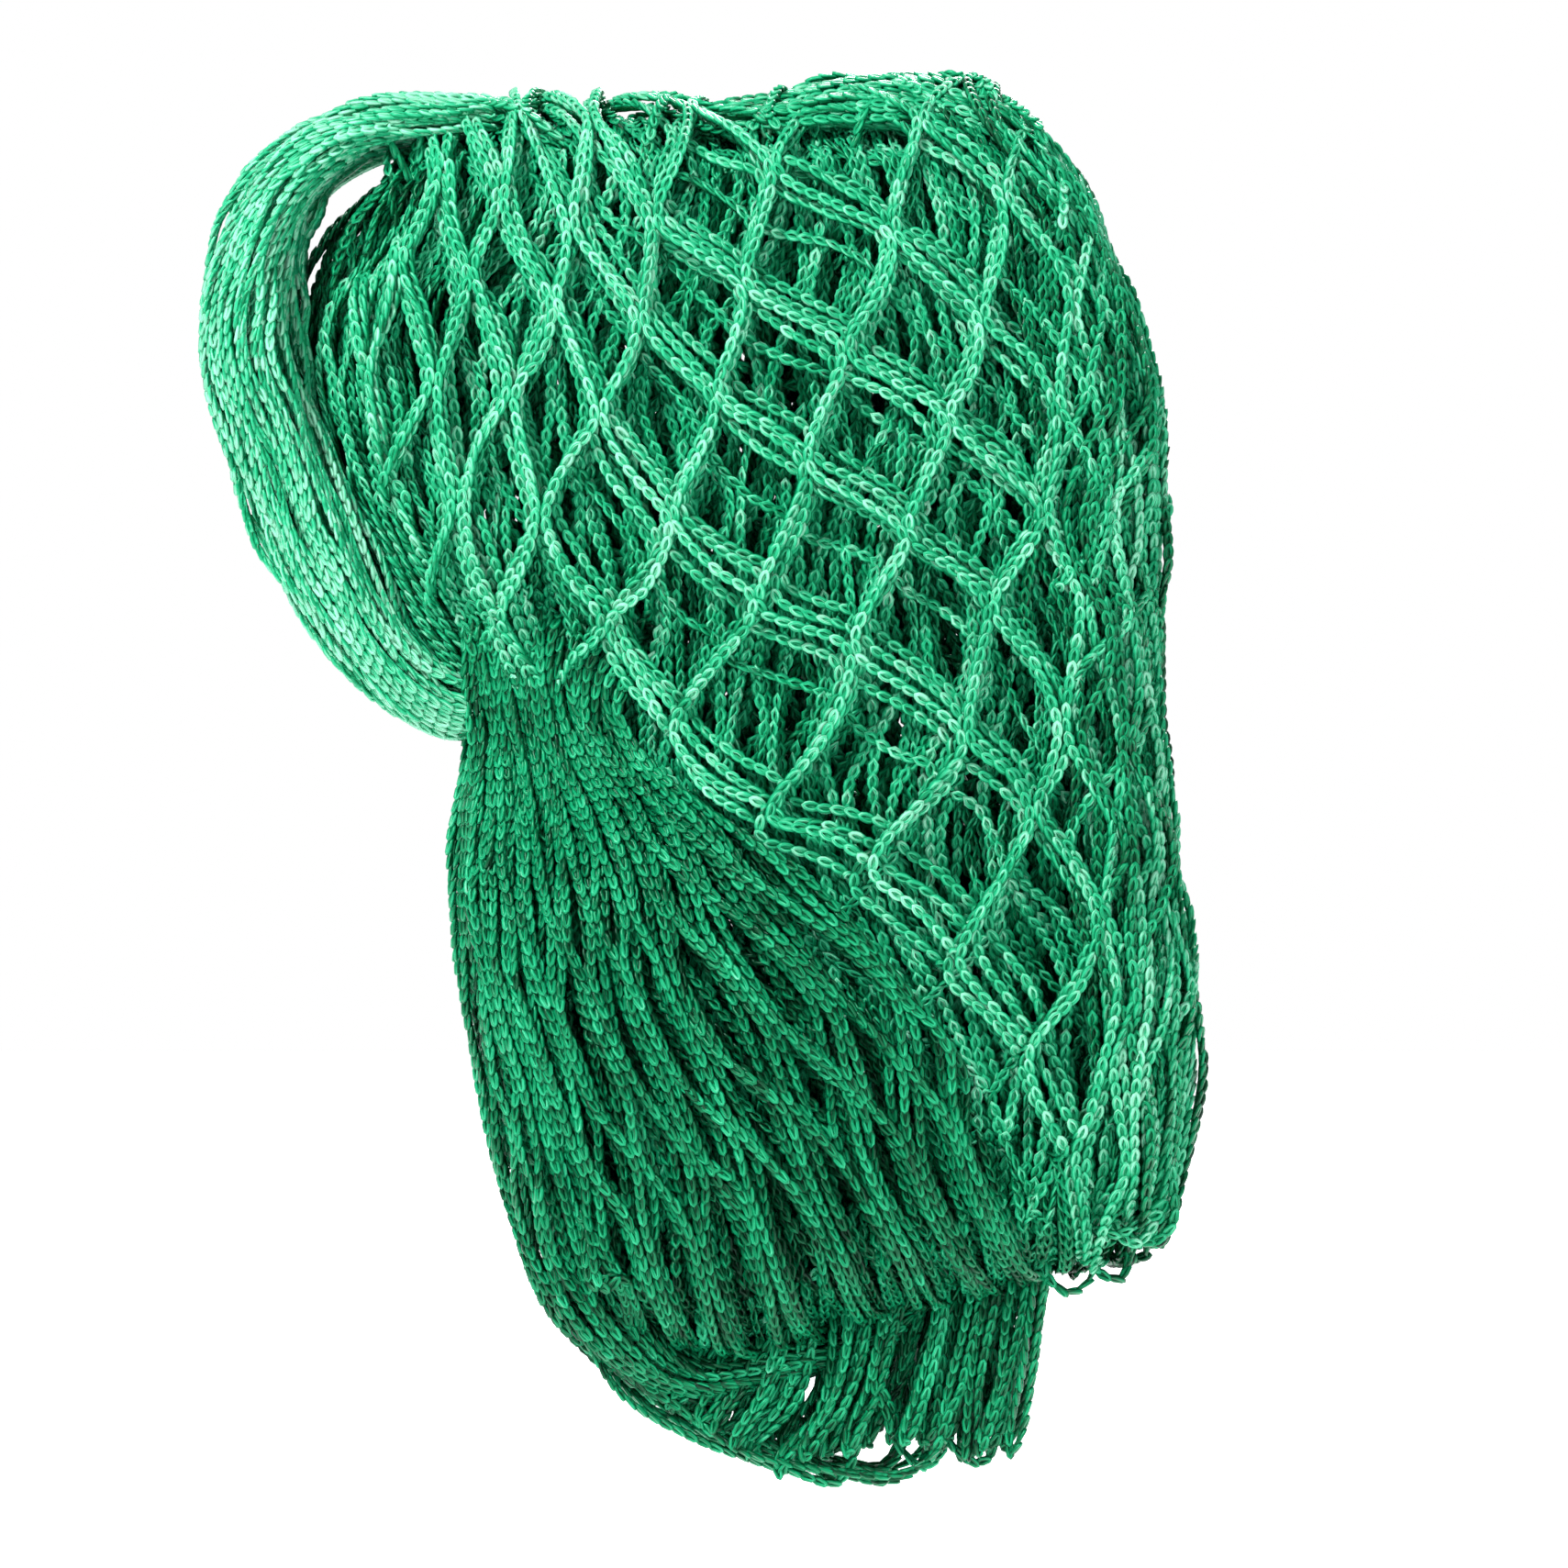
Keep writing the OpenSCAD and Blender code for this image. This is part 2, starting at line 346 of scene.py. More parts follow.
def lattice(p, q):
    """Flat position of the open net at line numbers p and q, between the table's joints."""
    flat = look(GRID, p - FIRST_P, q - FIRST_Q)
    x, z = flat[..., 0], flat[..., 1]
    return x + 3.0 * WARP_X(x, z), z + 3.0 * WARP_Z(x, z)


def open_layer(slide, fall, inset, kind, tone, seed, back=False, wander=1.2):
    """One diamond net layer, slid a little along its steep lines from the one before."""
    own_x = Waves(seed, 55)
    own_z = Waves(seed + 50, 55)
    depth = Waves(seed + 70, 60)

    def flat(c, j):
        x, z = lattice((c - j) / 2 + fall, (c + j) / 2 + slide)
        if back:
            x = 2 * MID_X - x - 20
        return x + wander * own_x(x, z), z + wander * own_z(x, z)

    def place(c, j):
        x, z = flat(np.asarray(c, float), np.asarray(j, float))
        return shell(x, z, inset + 1.0 * depth(x, z), back)

    def keep(pts, i, rows_at):
        x, z = flat(float(i), rows_at)
        s, t = shares(x, z)
        good = (s < 1.5) & (t < 1.28) & (t > -1.22) & (s > -1.35)
        good &= x > curve(INNER_LEFT, z) - 2
        if not back:
            line_q = (i + rows_at) / 2
            line_p = (i - rows_at) / 2
            good &= (line_q > LAST_LINE) | ((line_p < 0.6) & (z > GRIP_TOP))
            good &= s > -0.93
        return good

    net(place, (-16, 15), (-17, 14), kind, tone, seed=seed, wiggle=0.7, keep=keep)


# ---- closed-up layers: wales run up the bundle side by side ----

LOWER_LEFT = [(-168, 16), (-146, 3), (-106, -10), (-78, -18), (-47, -23), (-12, -24),
              (12, -30)]
INNER_LEFT = LOWER_LEFT + [(47, -56), (88, -71), (114, -70), (128, -50), (150, -44), (172, -40)]
CORE_LEFT = LOWER_LEFT + [(47, -58), (88, -73), (118, -72), (136, -56), (148, -38), (172, -32)]


def flow_x(share, z, edge):
    """Where a wale at a share of the width passes a height: gathered at the grip."""
    left = curve(edge, z)
    right = curve(RIGHT_SIDE, z)
    skew = np.interp(z, [-160, -90, -10, 60, 160], [0.78, 0.92, 1.4, 1.15, 1.0])
    base = np.clip(share, 0, 1) ** skew
    return left + (right - left) * (base + np.minimum(share, 0) + np.maximum(share - 1, 0))


SWAY = 5.0             # how far closed-up wales wander sideways
SPAN = 190.0           # rough width that a wale's share is measured over


def dense_layer(count, inset, kind, tone, seed, zig=1.1, back=False, lean=0.0,
                first=-2, last=None, above=False):
    """Wales that run up the whole bundle, nearly closed; lean slants them to the right."""
    warp = Waves(seed, 75)
    depth = Waves(seed + 9, 40)
    shift = rng.uniform(0, 1)

    def place(c, j):
        share = (np.asarray(c, float) + shift) / count
        z = np.asarray(j, float) * ROW
        u = share + (SWAY / SPAN) * warp(share * SPAN, z) + lean * z / SPAN
        x = flow_x(u, np.clip(z, -165, 165), CORE_LEFT if kind == "core" else INNER_LEFT)
        return shell(x, z, inset + 2.0 * depth(x * 2.2, z), back)

    def keep(pts, i, rows_at):
        edge = np.interp(pts[:, 0], *BORDER) - OVERLAP
        return pts[:, 2] > edge

    last = count + 2 if last is None else last
    net(place, (first, last), (-7, 7), kind, tone, seed=seed, wiggle=zig, joint=6,
        keep=keep if above else None)


# ---- rims: chains packed side by side round the gather, the right shoulder and the hem ----

GATHER = [(-1, 0, 156), (-26, 0, 158), (-51, 0, 154), (-69, 0, 140), (-77, 0, 104),
          (-68, 0, 70), (-56, 0, 43), (-42, 0, 20), (-27, 0, 9), (-10, 0, 7)]
GATHER_WIDE = [4, 5, 7, 10, 13, 13, 13, 12, 9, 5]
GATHER_DEEP = [5, 22, 29, 32, 32, 29, 25, 20, 15, 6]
SHOULDER = [(148, 0, 82), (144, 0, 105), (137, 0, 124), (126, 0, 141), (112, 0, 154),
            (94, 0, 160), (74, 0, 159), (52, 0, 157), (30, 0, 158)]
SHOULDER_WIDE = [2, 5, 7, 8, 9, 8, 7, 5, 2]
SHOULDER_DEEP = [5, 15, 20, 22, 22, 22, 20, 14, 5]
HEM_LINE = [(-14, 0, 14), (-14, 0, -12), (-13, 0, -46), (-8, 0, -80), (0, 0, -112),
            (12, 0, -146), (33, 0, -165), (57, 0, -163), (80, 0, -156), (100, 0, -148)]
HEM_WIDE = [3, 8, 11, 11, 12, 13, 10, 5, 2.4, 1.4]
HEM_DEEP = [4, 15, 23, 26, 26, 25, 21, 14, 8, 5]


def rim(line, widths, deeps, count, rows, shrink, kind, tone, seed, spread=330):
    """Chains side by side round a bent tube; shrink lays a second ring inside the first."""
    keys = np.linspace(0, 1, len(line))
    wave = Waves(seed, 60)
    lift = Waves(seed + 4, 45)

    def place(c, j):
        v = np.clip(np.asarray(j, float) / rows, 0.001, 0.999)
        mid = along_curve(line, v)
        ahead = unit(along_curve(line, np.minimum(v + 0.01, 1)) - along_curve(line, v - 0.01))
        out = np.stack([ahead[..., 2], np.zeros_like(v), -ahead[..., 0]], -1)
        beta = (np.asarray(c, float) / count - 0.5) * math.radians(spread)
        beta = beta + 0.16 * wave(beta * 30, v * 200)
        bump = 1.3 * lift(beta * 40, v * 220)
        wide = np.interp(v, keys, widths) - shrink * 0.6 + bump
        deep = np.interp(v, keys, deeps) - shrink + bump
        y = -np.sin(beta) * deep
        p = mid + out * (np.cos(beta) * wide)[..., None]
        p[..., 1] += y
        near = 1 + np.minimum(y, 0) / EYE_D
        p[..., 0] = MID_X + (p[..., 0] - MID_X) * near
        p[..., 2] = MID_Z + (p[..., 2] - MID_Z) * near
        return p

    net(place, (0, count), (0, rows), kind, tone, seed=seed, wiggle=0.7, joint=8, roll=0.5)


def pocket(count, kind, tone, seed):
    """Chains seen through the gather's opening, behind it; their dark tone is painted shade
    inside the gather.
    """
    r = np.random.default_rng(seed)
    for k in range(count):
        d = 2.7 * (k // 2)
        y = 9 + 9 * (k % 2) + r.uniform(-2, 2)
        x = [-60 + d, -69 + d, -66 + d, -58 + d, -45 + d, -28 + d]
        z = [60, 90, 114, 130 - 0.5 * d, 140 - 0.9 * d, 145 - 1.0 * d]
        pts = np.stack([x, np.full(6, y), z], -1) + r.normal(0, 0.9, (6, 3))
        strands.append(Strand(pts, kind, tone + r.normal(0, 0.08), 0.6))


# ---- the sweep: chains squeezed together under the grip that fan out to the bottom fold ----

SWEEP = [[(-30, 34), (-18, 38), (-4, 38), (12, 34), (28, 26)],
         [(-25, 2), (-14, 6), (-3, 8), (8, 7), (20, 2)],
         [(-24, -40), (-9, -42), (11, -40), (32, -33), (52, -25)],
         [(-20, -82), (-1, -86), (29, -80), (58, -68), (85, -58)],
         [(-8, -124), (18, -128), (50, -122), (82, -110), (112, -98)],
         [(10, -162), (40, -180), (74, -180), (106, -172), (134, -162)]]


def surface(rows, steps=10):
    """Smooth sheet through rows of (across, height) points."""
    lines = np.stack([spline(np.array(r, float), steps) for r in rows])
    return np.stack([spline(lines[:, k], steps) for k in range(lines.shape[1])], 1)


SWEEP_GRID = surface(SWEEP)
SWEEP_ROWS = 7
SWEEP_WAVE = Waves(74, 50)


def sweep(count, inset, kind, tone, seed, slide=0.0, side=0.0, pair=0.2):
    """One layer of the fan down to the fold; its chains run in pairs with gaps between them."""
    depth = Waves(seed, 45)

    def place(c, j):
        c = np.asarray(c, float)
        v = (np.asarray(j, float) + slide) / SWEEP_ROWS
        f = (c + 0.5 + side + pair * np.cos(math.pi * c)) / count
        flat = look(SWEEP_GRID, np.clip(f, 0, 1) * (SWEEP_GRID.shape[1] - 1),
                    v * (SWEEP_GRID.shape[0] - 1))
        open_up = np.clip(v * 3, 0, 1)
        x = flat[..., 0] + 3.0 * open_up * SWEEP_WAVE(flat[..., 0], flat[..., 1])
        z = flat[..., 1]
        dive = 13 * np.clip(1 - v * 6, 0, 1)
        return shell(x, z, inset + dive + 1.6 * depth(x * 2, z * 0.7))

    net(place, (0, count - 1), (0, SWEEP_ROWS), kind, tone, seed=seed, wiggle=0.8, joint=6)


# ---- the tail flap: short chains hanging from under the fold, turning up at their ends ----

TAIL_LOW = [(10, -162), (26, -170), (42, -179), (60, -185), (74, -185), (81, -180),
            (92, -180), (99, -184), (116, -184), (124, -178)]


def tail(count, depth, kind, tone, seed, lean=0.0):
    """Each strand comes down from the fold, turns and goes back up beside itself."""
    r = np.random.default_rng(seed)
    at = np.linspace(0.05, 1, count) + r.normal(0, 0.008, count)
    for k in range(0, count - 1, 2):
        a, b = at[k], at[k + 1]
        loose = np.interp(a, [0, 0.55, 1], [2.4, 2.4, 0.7])
        low_a = 25 + 93 * a
        low_b = 25 + 93 * b
        slant = lean * (1 - a)
        top_a = 34 + 94 * a + slant
        top_b = 34 + 94 * b + slant
        low = curve(TAIL_LOW, (low_a + low_b) / 2) + r.normal(0, 1.6)
        high = curve(LOW_LINE, top_a) + 20
        y = depth + r.normal(0, 1.4)
        pts = []
        for share in (0, 0.33, 0.66, 0.9):
            pts.append((top_a + (low_a - top_a) * share, y, high + (low - high) * share))
        pts.append(((low_a + low_b) / 2, y + r.normal(0, 0.8), low))
        for share in (0.9, 0.66, 0.33, 0):
            pts.append((top_b + (low_b - top_b) * share, y, high + (low - high) * share))
        pts = np.array(pts)
        sway = r.normal(0, loose, 2)
        pts[1:3, 0] += sway[0]
        pts[3:6, 0] += sway[1]
        pts[6:8, 0] += sway[0]
        pts[[0, -1], 1] *= 0.5
        pts[[1, -2], 1] *= 0.8
        pts += r.normal(0, 0.4, pts.shape)
        strands.append(Strand(pts, kind, tone + r.normal(0, 0.08), 0.5))


# Lower left border of the flap, from the hem to the lowest loop
TAIL_EDGE = [(2, -133), (9, -153), (20, -167), (34, -177), (48, -184), (62, -188), (74, -191),
             (85, -193), (95, -188), (101, -174)]


def tail_edge(count, kind, tone, seed):
    """Chains along the flap's lower left border, front to back, each a little inside the last."""
    r = np.random.default_rng(seed)
    line = np.array(TAIL_EDGE, float)
    for k in range(count):
        y = np.full(len(line), -13 + 26 * k / (count - 1))
        lift = r.uniform(0, 4) + 1.2 * np.sin(np.arange(len(line)) * 1.3 + r.uniform(0, 6))
        pts = np.stack([line[:, 0] + 0.4 * lift, y, line[:, 1] + lift], -1)
        pts += r.normal(0, 0.6, pts.shape)
        last = len(line) if k % 3 == 0 else len(line) - r.integers(2, 6)
        end = pts[last - 1]
        rise = [end + np.array([5, -0.2 * end[1], 9]), end + np.array([8, -0.5 * end[1], 26])]
        pts = np.concatenate([pts[:last], rise])
        pts[0, 1] *= 0.4
        strands.append(Strand(pts, kind, tone + r.normal(0, 0.08), 0.6))


LOOPS = [(48, 12, -183, -150), (60, 9, -189, -150), (95, 16, -188, -150), (108, 15, -187, -150)]
LOBE_LOOPS = [(133, 12, -143, -116), (143, 13, -138, -108), (152, 11, -130, -100)]


def hanging_loops(table, kind, tone, seed, depth):
    """Open meshes that hang lowest, each one a wide loop of strand."""
    r = np.random.default_rng(seed)
    for mid, width, low, high in table:
        y = depth + r.uniform(-7, 7)
        h = width / 2
        z = [high + (low - high) * share for share in (0, 0.35, 0.75, 0.95, 1.0, 0.8, 0.4, 0)]
        x = [mid - h * k for k in (0.5, 0.9, 0.95, 0.4, -0.3, -0.9, -1.0, -0.6)]
        pts = np.stack([x, np.full(8, y), z], -1) + r.normal(0, 0.8, (8, 3))
        strands.append(Strand(pts, kind, tone + r.normal(0, 0.08), 0.6))


def knit():
    # Layer tones: deeper layers are painted darker and the core layers near black, painted shade
    # inside the bundle; the gather's outer ring is painted lighter than its inner ring, and the
    # hem, sweep and tail darker, painted light and shade for the key lamp at the upper left. The
    # small random spread per strand is the net's own tone.
    open_layer(0, 0, 1.0, "open", 0.42, 21)
    open_layer(0.095, 0.015, 3.2, "open", 0.40, 22)
    open_layer(-0.10, -0.02, 5.4, "open", 0.38, 23)
    open_layer(0.20, 0.03, 7.6, "open", 0.34, 24)
    open_layer(-0.36, 0.04, 10.0, "fold", 0.30, 25, wander=3)
    dense_layer(37, 11, "fold", 0.32, 31, lean=0.06, above=True)
    dense_layer(40, 15, "fold", 0.22, 32, lean=-0.02, above=True)
    dense_layer(42, 19, "core", 0.08, 33, lean=0.30)
    dense_layer(45, 24, "core", -0.1, 34, lean=-0.25)
    dense_layer(48, 30, "core", -0.2, 35, lean=-0.03)
    open_layer(0.50, 0.3, 21.5, "core", -0.05, 27, wander=3)
    open_layer(0.25, 0.6, 26.5, "core", -0.15, 28, wander=3)
    dense_layer(44, 36, "core", -0.2, 36, back=True, lean=0.2)
    dense_layer(40, 0.5, "open", -0.08, 37, first=37, last=42, zig=0.8)
    dense_layer(44, 4, "fold", 0.0, 38, first=38, last=46)
    open_layer(0, 0, 1.0, "open", 0.30, 41, back=True)
    open_layer(0.13, 0.03, 4.0, "fold", 0.24, 42, back=True)
    dense_layer(40, 9, "fold", 0.14, 51, back=True)
    dense_layer(42, 14, "fold", 0.06, 52, back=True, lean=0.03)
    dense_layer(42, 24, "core", -0.12, 53, back=True, lean=-0.2)
    rim(GATHER, GATHER_WIDE, GATHER_DEEP, 33, 8, 0, "rim", 0.58, 61)
    rim(GATHER, GATHER_WIDE, GATHER_DEEP, 34, 8, 4, "fold", 0.48, 62)
    pocket(18, "fold", -0.12, 64)
    rim(SHOULDER, SHOULDER_WIDE, SHOULDER_DEEP, 26, 6, 0, "open", 0.26, 65)
    rim(HEM_LINE, HEM_WIDE, HEM_DEEP, 24, 9, 0, "hem", 0.06, 81, 290)
    rim(HEM_LINE, HEM_WIDE, HEM_DEEP, 24, 9, 4.5, "fold", -0.08, 82, 290)
    sweep(18, 2.0, "sweep", -0.02, 74)
    sweep(18, 4.4, "sweep", -0.10, 75, slide=0.22, side=0.22)
    sweep(18, 6.8, "sweep", -0.10, 76, slide=-0.18, side=-0.24)
    sweep(22, 10, "fold", -0.12, 77, slide=0.5, pair=0.1)
    sweep(24, 14, "core", -0.25, 78, pair=0)
    tail(32, -12, "tail", 0.14, 91, 6)
    tail(32, -7, "tail", 0.10, 92, 16)
    tail(34, -3, "tail", 0.04, 93, -8)
    tail(34, 5, "tail", 0.04, 94, 10)
    tail(32, 13, "tail", 0.14, 96, -4)
    tail_edge(12, "tail", 0.12, 98)
    hanging_loops(LOOPS, "tail", 0.22, 95, -4)
    hanging_loops(LOBE_LOOPS, "sweep", 0.20, 97, -12)


knit()


# ---- stitches to meshes ----

def tube(line, radius, sides):
    tan = unit(np.gradient(line, axis=0))
    up = np.array([0.0, 1.0, 0.0])
    nor = unit(up - (tan @ up)[:, None] * tan)
    bi = np.cross(tan, nor)
    ang = (np.arange(sides) + 0.5) / sides * 2 * math.pi
    ring = nor[:, None] * np.cos(ang)[None, :, None] + bi[:, None] * np.sin(ang)[None, :, None]
    verts = (line[:, None] + ring * radius).reshape(-1, 3)
    faces = []
    for i in range(len(line) - 1):
        for k in range(sides):
            m = (k + 1) % sides
            faces.append([i * sides + k, i * sides + m, (i + 1) * sides + m, (i + 1) * sides + k])
    return verts, np.array(faces)


def stitch_shape(sides, steps, fat=1.0):
    """Teardrop loop of a chain stitch plus the yarn laid under it, in millimetres."""
    half = [(-0.20, -0.45, 0.0), (-0.48, -0.12, 0.20), (-0.72, 0.14, 0.46), (-0.72, 0.38, 0.76),
            (-0.42, 0.52, 1.02), (0.0, 0.54, 1.16)]
    left = np.array(half)
    right = left[::-1][1:] * np.array([-1, 1, 1])
    line = np.concatenate([left, right]) * np.array([fat, 1, PITCH])
    if steps < 11:
        pick = np.linspace(0, 10, steps).round().astype(int)
        line = line[pick]
    verts, faces = tube(line, 0.52 * fat, sides)
    under = np.array([[0, -0.30, -0.2], [0, -0.38, PITCH * 0.5], [0, -0.30, PITCH + 0.2]])
    v2, f2 = tube(under, 0.60 * fat, sides)
    # Per-vertex shade: the raised parts of each loop are painted lighter and its base darker,
    # painted light and shade for the loop's relief; the under yarn gets one even tone.
    shade = np.concatenate([0.36 * verts[:, 1] - 0.06, np.full(len(v2), 0.02)])
    n1, n2 = len(verts), len(v2)
    run = np.concatenate([np.arange(n1) // sides * 2.9 / len(line), np.arange(n2) // sides * 1.2])
    ring = np.concatenate([np.arange(n1) % sides, np.arange(n2) % sides]) * 3.6 / sides
    fibre_tone_and_sheen = np.stack([run, ring, np.where(np.arange(n1 + n2) < n1, 0.0, 7.0)], -1)
    return np.concatenate([verts, v2]), np.concatenate([faces, f2 + n1]), shade, fibre_tone_and_sheen


DETAIL = {"open": (4, 11, 1.2), "rim": (4, 9, 1.15), "sweep": (4, 9, 1.2), "hem": (4, 9, 1.12),
          "tail": (4, 9, 1.12), "fold": (3, 7, 1.25), "core": (3, 5, 1.6)}
SHAPES = {kind: stitch_shape(*DETAIL[kind]) for kind in DETAIL}


def build(name, kind, picked, material):
    """One mesh from the picked stitches of many strands."""
    shape, quads, relief_shade, fibre_tone_and_sheen = SHAPES[kind]
    pos, side, nor, tan, tone, stretch = picked
    n = len(pos)
    local = shape[None] * np.stack([np.ones(n), np.ones(n), stretch], -1)[:, None]
    v = (pos[:, None] + local[..., 0:1] * side[:, None] + local[..., 1:2] * nor[:, None]
         + local[..., 2:3] * tan[:, None])
    verts = (v.reshape(-1, 3) / 1000).astype(np.float32)
    faces = (quads[None] + (np.arange(n) * len(shape))[:, None, None]).reshape(-1, 4)
    mesh = bpy.data.meshes.new(name)
    mesh.vertices.add(len(verts))
    mesh.vertices.foreach_set("co", verts.ravel())
    mesh.loops.add(len(faces) * 4)
    mesh.loops.foreach_set("vertex_index", faces.astype(np.int32).ravel())
    mesh.polygons.add(len(faces))
    mesh.polygons.foreach_set("loop_start", np.arange(len(faces), dtype=np.int32) * 4)
    mesh.polygons.foreach_set("loop_total", np.full(len(faces), 4, np.int32))
    mesh.update(calc_edges=True)
    mesh.polygons.foreach_set("use_smooth", np.ones(len(faces), bool))
    # Stitch tone plus the painted light and shade of each loop's relief, stored as the tone
    # attribute.
    shade = tone[:, None] + relief_shade[None]
    attr = mesh.attributes.new("tone", "FLOAT", "POINT")
    attr.data.foreach_set("value", shade.ravel().astype(np.float32))
    # Coordinates along and round each yarn, offset at random per stitch, for the noise that
    # paints random tone and sheen streaks.
    lines = fibre_tone_and_sheen[None] + rng.uniform(0, 60, (n, 1, 3))
    attr = mesh.attributes.new("fibre_tone_and_sheen", "FLOAT_VECTOR", "POINT")
    attr.data.foreach_set("vector", lines.ravel().astype(np.float32))
    obj = bpy.data.objects.new(name, mesh)
    bpy.context.scene.collection.objects.link(obj)
    mesh.materials.append(material)
    return obj


# Tone to base colour. The middle stops are the net's own green; the lower stops are painted
# shade, near black for the deepest layers, and the top stop is pale mint, a painted highlight.
RAMP = [(0.25, (0.0, 0.005, 0.002)), (0.65, (0.0004, 0.065, 0.022)),
        (1.00, (0.001, 0.235, 0.092)), (1.35, (0.02, 0.43, 0.205)), (1.70, (0.26, 0.66, 0.46))]


def strand_material():
    mat = bpy.data.materials.new("net_strand")
    mat.use_nodes = True
    nodes = mat.node_tree.nodes
    links = mat.node_tree.links
    bsdf = nodes["Principled BSDF"]
    tone = nodes.new("ShaderNodeAttribute")
    tone.attribute_name = "tone"
    fibre_tone_and_sheen = nodes.new("ShaderNodeAttribute")
    fibre_tone_and_sheen.attribute_name = "fibre_tone_and_sheen"
    # Noise along the fibres lifts the tone by up to 1.5: random tone along the filaments, and
    # painted sheen streaks where it reaches the ramp's pale top.
    noise = nodes.new("ShaderNodeTexNoise")
    noise.inputs["Scale"].default_value = 1.1
    noise.inputs["Detail"].default_value = 2
    links.new(fibre_tone_and_sheen.outputs["Vector"], noise.inputs["Vector"])
    add = nodes.new("ShaderNodeMath")
    add.operation = "MULTIPLY_ADD"
    add.inputs[1].default_value = 1.5
    links.new(noise.outputs["Fac"], add.inputs[0])
    links.new(tone.outputs["Fac"], add.inputs[2])
    ramp = nodes.new("ShaderNodeValToRGB")
    scale = nodes.new("ShaderNodeMath")
    scale.operation = "MULTIPLY"
    scale.inputs[1].default_value = 0.5
    links.new(add.outputs[0], scale.inputs[0])
    stops = ramp.color_ramp.elements
    while len(stops) < len(RAMP):
        stops.new(0.5)
    for stop, (at, colour) in zip(stops, RAMP):
        stop.position = at * 0.5
        stop.color = (*colour, 1)
    links.new(scale.outputs[0], ramp.inputs[0])
    links.new(ramp.outputs[0], bsdf.inputs["Base Color"])
    bsdf.inputs["Roughness"].default_value = 0.34
    bsdf.inputs["Specular IOR Level"].default_value = 0.32
    bsdf.inputs["Specular Tint"].default_value = (0.50, 1.0, 0.75, 1)
    return mat


WORDS = {"open": "net", "sweep": "net", "fold": "fold"}


def zone(kind, p):
    """Name of the CAD fold that each stitch belongs to."""
    x, y, z = p[:, 0], p[:, 1], p[:, 2]
    front = y < 0
    upper = z > WAIST_Z
    if kind == "tail":
        name = np.where(y > TAIL_HALF, "tail_back", "tail_middle")
        name = np.where(y < -TAIL_HALF, "tail_front", name).astype("U32")
        name[z < LOOP_Z] = "tail_loops"
        return name
    if kind == "hem":
        name = np.where(front, "bottom_fold_front", "bottom_fold_back").astype("U32")
        name[z > HEM_Z] = "left_sweep"
        return name
    if kind == "rim":
        return np.where(front, "left_gather_front", "left_gather_back").astype("U32")
    if kind == "core":
        name = np.where(front, "core_front", "core_back")
    else:
        name = np.where(front, "front_" + WORDS[kind], "back_" + WORDS[kind])
    name = np.where(upper, np.char.add("upper_", name), np.char.add("lower_", name))
    name = name.astype("U32")
    name[(z > TOP_Z) & (kind != "core")] = "top_fold"
    edge = (x > EDGE_X) & (kind != "core")
    name[edge & upper] = "upper_right_edge"
    name[edge & ~upper] = "lower_right_edge"
    name[edge & (z < LOBE_Z)] = "corner_lobe"
    return name


LIMIT = 180000         # triangles in one piece


def assemble():
    material = strand_material()
    bins = {}
    for s in strands:
        names = zone(s.kind, s.pos)
        for name in np.unique(names):
            m = names == name
            bins.setdefault((str(name), s.kind), []).append(
                (s.pos[m], s.side[m], s.normal[m], s.tangent[m], s.tone[m], s.stretch[m]))
    for (name, kind), parts in sorted(bins.items()):
        picked = [np.concatenate([p[k] for p in parts]) for k in range(6)]
        each = len(SHAPES[kind][1]) * 2
        count = math.ceil(len(picked[0]) * each / LIMIT)
        cuts = np.linspace(0, len(picked[0]), count + 1).astype(int)
        for k in range(count):
            part = [column[cuts[k]:cuts[k + 1]] for column in picked]
            obj = build(name + "_" + kind + "_" + str(k + 1), kind, part, material)
            if kind == "tail" or (name.startswith("bottom_fold")):
                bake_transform(obj)
            else:
                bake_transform(obj)
            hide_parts(name)


assemble()


# ---- light, floor and camera ----

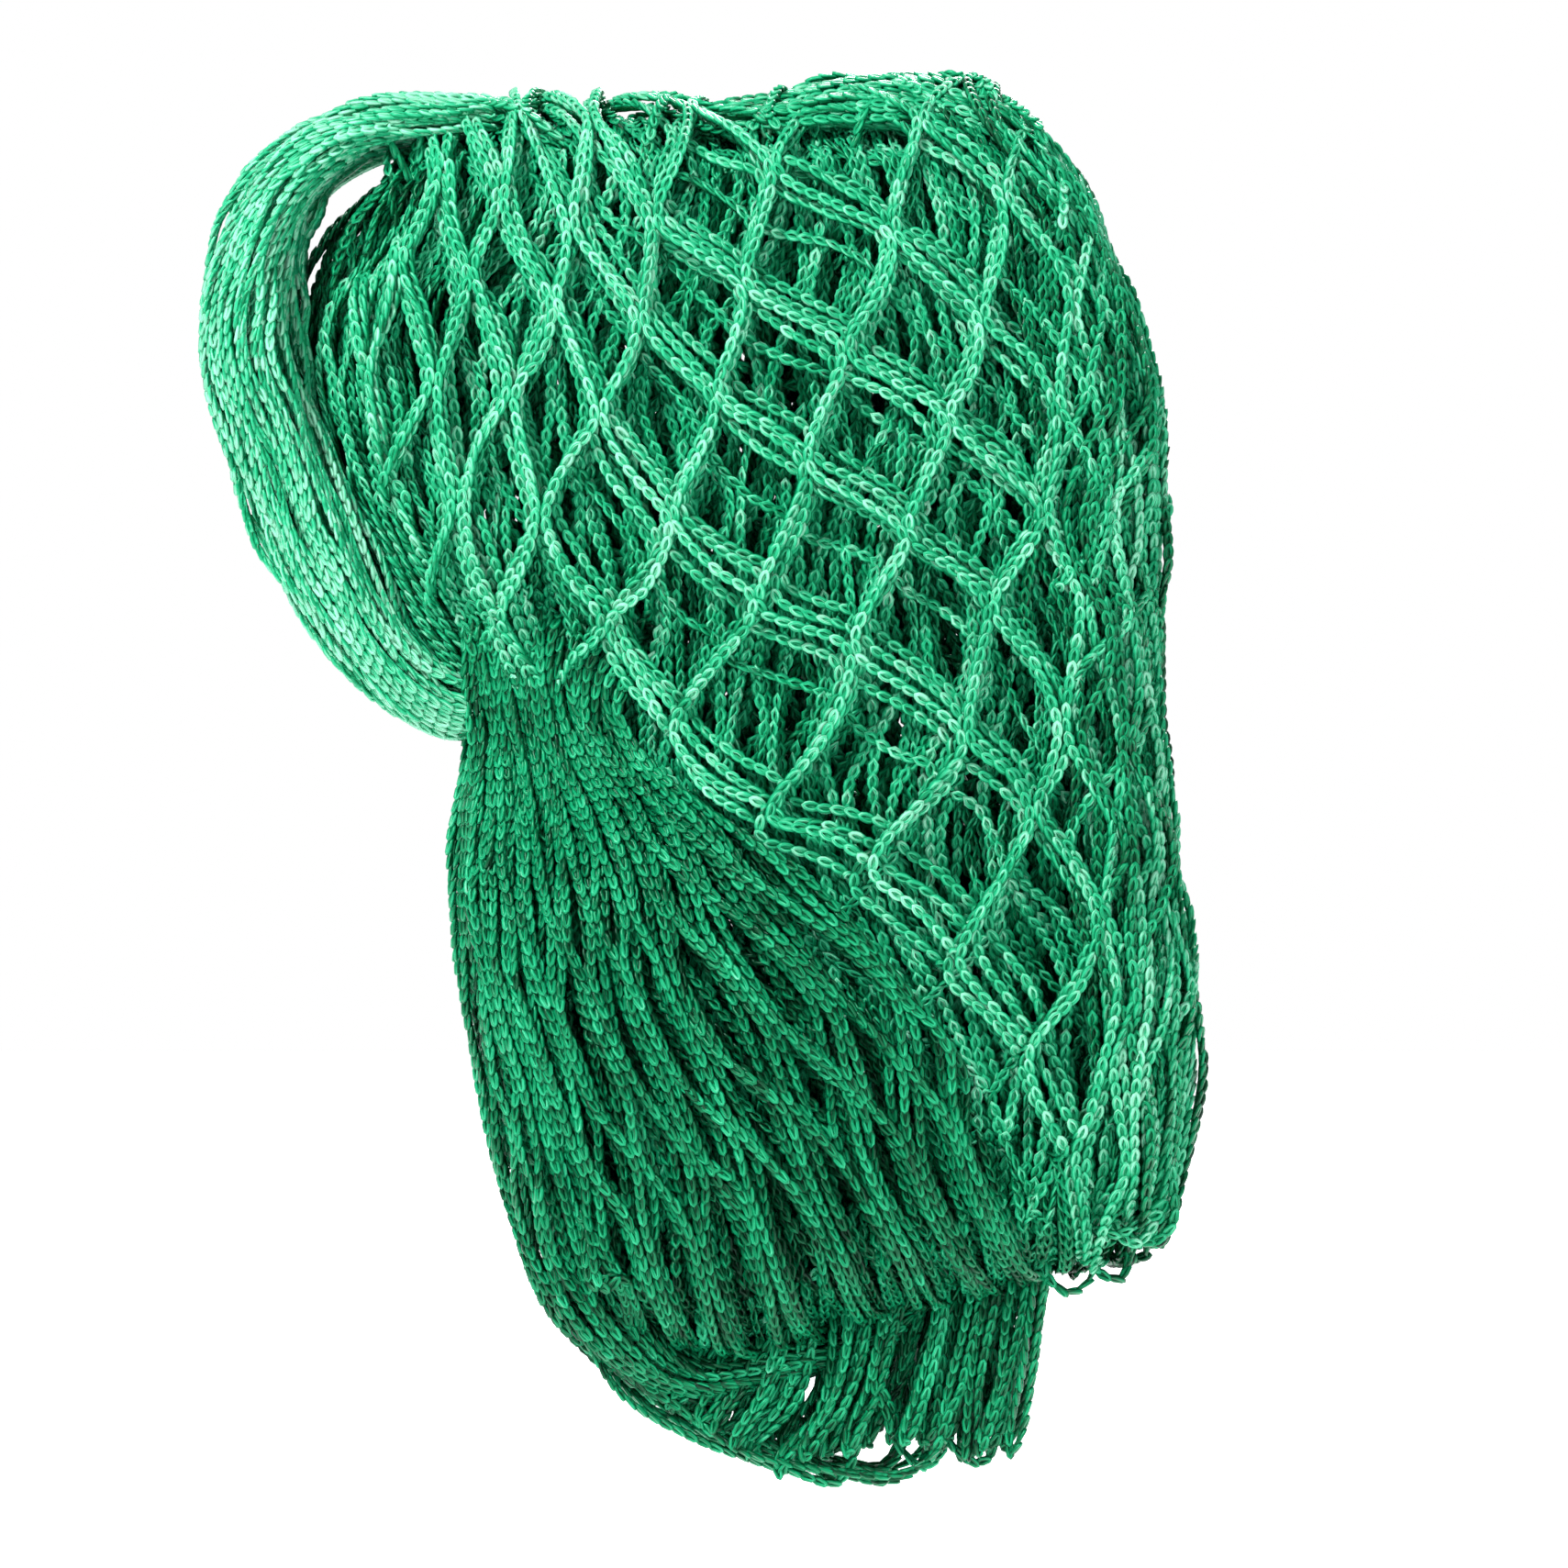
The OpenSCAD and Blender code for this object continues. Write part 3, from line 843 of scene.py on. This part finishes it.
def area(name, where, target, size, power):
    data = bpy.data.lights.new(name, "AREA")
    data.shape = "DISK"
    data.size = size
    data.energy = power
    obj = bpy.data.objects.new(name, data)
    bpy.context.scene.collection.objects.link(obj)
    obj.location = where
    aim = Vector(target) - Vector(where)
    obj.rotation_euler = aim.to_track_quat("-Z", "Y").to_euler()


def stage():
    world = bpy.data.worlds.new("studio")
    bpy.context.scene.world = world
    world.use_nodes = True
    nodes = world.node_tree.nodes
    links = world.node_tree.links
    back = nodes["Background"]
    back.inputs[0].default_value = (1, 1, 1, 1)
    seen = nodes.new("ShaderNodeLightPath")
    level = nodes.new("ShaderNodeMapRange")
    level.inputs["To Min"].default_value = 0.29
    level.inputs["To Max"].default_value = 1.0
    links.new(seen.outputs["Is Camera Ray"], level.inputs["Value"])
    links.new(level.outputs["Result"], back.inputs[1])
    bpy.ops.mesh.primitive_plane_add(size=4, location=(0, 0, LO[2] / 1000 - 0.03))
    floor = bpy.context.active_object
    floor.name = "floor"
    mat = bpy.data.materials.new("floor_white")
    mat.use_nodes = True
    bsdf = mat.node_tree.nodes["Principled BSDF"]
    bsdf.inputs["Base Color"].default_value = (0.92, 0.92, 0.92, 1)
    bsdf.inputs["Roughness"].default_value = 0.8
    bsdf.inputs["Emission Color"].default_value = (1, 1, 1, 1)
    bsdf.inputs["Emission Strength"].default_value = 0.8
    floor.data.materials.append(mat)
    area("key", (-0.42, -0.72, 0.75), (0.0, 0, 0.04), 0.24, 16.5)
    area("fill", (0.7, -1.2, 0.7), (0.05, 0, 0), 0.7, 6)
    area("rim", (0.3, 1.0, 0.8), (0.05, 0, 0), 0.6, 14)


def camera():
    data = bpy.data.cameras.new("camera")
    data.sensor_width = 36
    data.lens = 85
    obj = bpy.data.objects.new("camera", data)
    bpy.context.scene.collection.objects.link(obj)
    obj.location = (MID_X / 1000, -EYE_D / 1000, MID_Z / 1000)
    obj.rotation_euler = (math.radians(90), 0, 0)
    bpy.context.scene.camera = obj
    bpy.context.scene.view_settings.view_transform = "Standard"
    bpy.context.scene.view_settings.look = "None"


stage()
camera()
